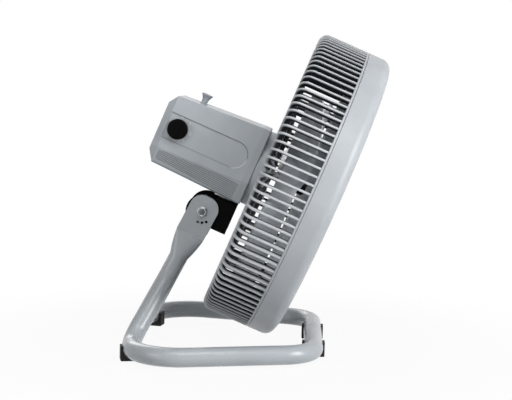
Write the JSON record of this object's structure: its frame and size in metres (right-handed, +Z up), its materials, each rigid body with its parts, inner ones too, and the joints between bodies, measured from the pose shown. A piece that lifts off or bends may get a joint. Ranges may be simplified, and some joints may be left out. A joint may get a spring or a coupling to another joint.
{
  "type": "air circulator fan",
  "caption": "High-velocity drum fan with ribbed grille, box motor housing, side speed knob, swivel and tilting bracket on a bent-tube floor stand.",
  "frame": {"origin": "on the floor, under the middle of the overall box", "axes": "+Z up, +X the way the fan blows, -Y the side with the speed knob"},
  "size_m": [0.4402, 0.52, 0.5477],
  "materials": {
    "light_grey_plastic": "satin moulded",
    "light_grey_housing": "satin powder coat",
    "light_grey_tube": "semi-gloss powder coat",
    "black_plastic": "fine grain",
    "black_bracket": "satin powder coat",
    "black_rubber": "matt",
    "zinc_steel": "zinc plated",
    "cast_aluminium": "as cast",
    "copper_winding": "varnished",
    "laminated_steel": "laminated",
    "blade_grey": "satin moulded",
    "beige_plastic": "satin moulded"
  },
  "bodies": {
    "stand": {"stand_tube": "light_grey_tube", "rear_foot_right": "black_rubber", "rear_foot_left": "black_rubber", "front_foot_right": "black_rubber", "front_foot_left": "black_rubber", "pivot_bolts": "zinc_steel", "pivot_washers": "black_plastic", "pivot_nuts": "zinc_steel"},
    "neck": {"tilt_bracket": "black_bracket", "detent_balls": "zinc_steel", "detent_springs": "zinc_steel", "bracket_rivets": "black_bracket", "neck_post": "zinc_steel", "post_clip": "zinc_steel", "swivel_washer": "beige_plastic", "link_pin": "zinc_steel"},
    "head": {"motor_housing": "light_grey_housing", "rear_cover": "light_grey_housing", "cover_screws": "zinc_steel", "swivel_plate": "zinc_steel", "speed_switch": "black_plastic", "cord_gland": "black_plastic", "capacitor": "black_plastic", "gearbox_case": "cast_aluminium", "housing_flange": "light_grey_plastic", "stator_core": "laminated_steel", "stator_windings": "copper_winding", "rear_end_bell": "cast_aluminium", "front_end_bell": "cast_aluminium", "rear_bearing": "zinc_steel", "front_bearing": "zinc_steel", "tie_bolts": "zinc_steel", "rear_grille": "light_grey_plastic", "grille_screws": "zinc_steel", "front_grille": "light_grey_plastic", "centre_cap": "light_grey_plastic", "grille_lock_screw": "zinc_steel"},
    "rotor": {"motor_shaft": "zinc_steel", "rotor_core": "laminated_steel", "fan_blade": "blade_grey", "blade_nut": "black_plastic"},
    "speed_knob": {"speed_knob": "black_plastic"},
    "oscillation_knob": {"oscillation_knob": "light_grey_plastic"},
    "crank": {"worm_wheel": "beige_plastic", "crank_disc": "zinc_steel"},
    "link": {"drive_link": "zinc_steel"}
  },
  "joints": [
    {"name": "tilt", "type": "hinge", "parent": "stand", "child": "neck", "pos_m": [-0.09416, 0, 0.24], "axis": [0, -1, 0], "range_deg": [0, 45]},
    {"name": "swivel", "type": "hinge", "parent": "neck", "child": "head", "pos_m": [-0.07199, 0, 0.23082], "axis": [0.3827, 0, 0.9239], "range_deg": [-30, 30]},
    {"name": "blade_spin", "type": "hinge", "parent": "head", "child": "rotor", "pos_m": [0.00403, 0, 0.31244], "axis": [0.9239, 0, -0.3827], "continuous": true},
    {"name": "speed_select", "type": "hinge", "parent": "head", "child": "speed_knob", "pos_m": [-0.13738, -0.06208, 0.38129], "axis": [0, 1, 0], "range_deg": [0, 135]},
    {"name": "oscillation_pull", "type": "slide", "parent": "head", "child": "oscillation_knob", "axis": [0.3827, 0, 0.9239], "range_m": [0, 0.006]},
    {"name": "crank_turn", "type": "hinge", "parent": "head", "child": "crank", "pos_m": [-0.12439, 0.0168, 0.36563], "axis": [0.3827, 0, 0.9239], "range_deg": [-70, 70]},
    {"name": "link_swing", "type": "hinge", "parent": "neck", "child": "link", "pos_m": [-0.05171, -0.022, 0.27978], "axis": [0.3827, 0, 0.9239], "range_deg": [-32, 32]}
  ],
  "couplings": [
    {"joint": "crank_turn", "follows": "swivel", "ratio": -2.19},
    {"joint": "link_swing", "follows": "swivel", "ratio": 0.945}
  ]
}
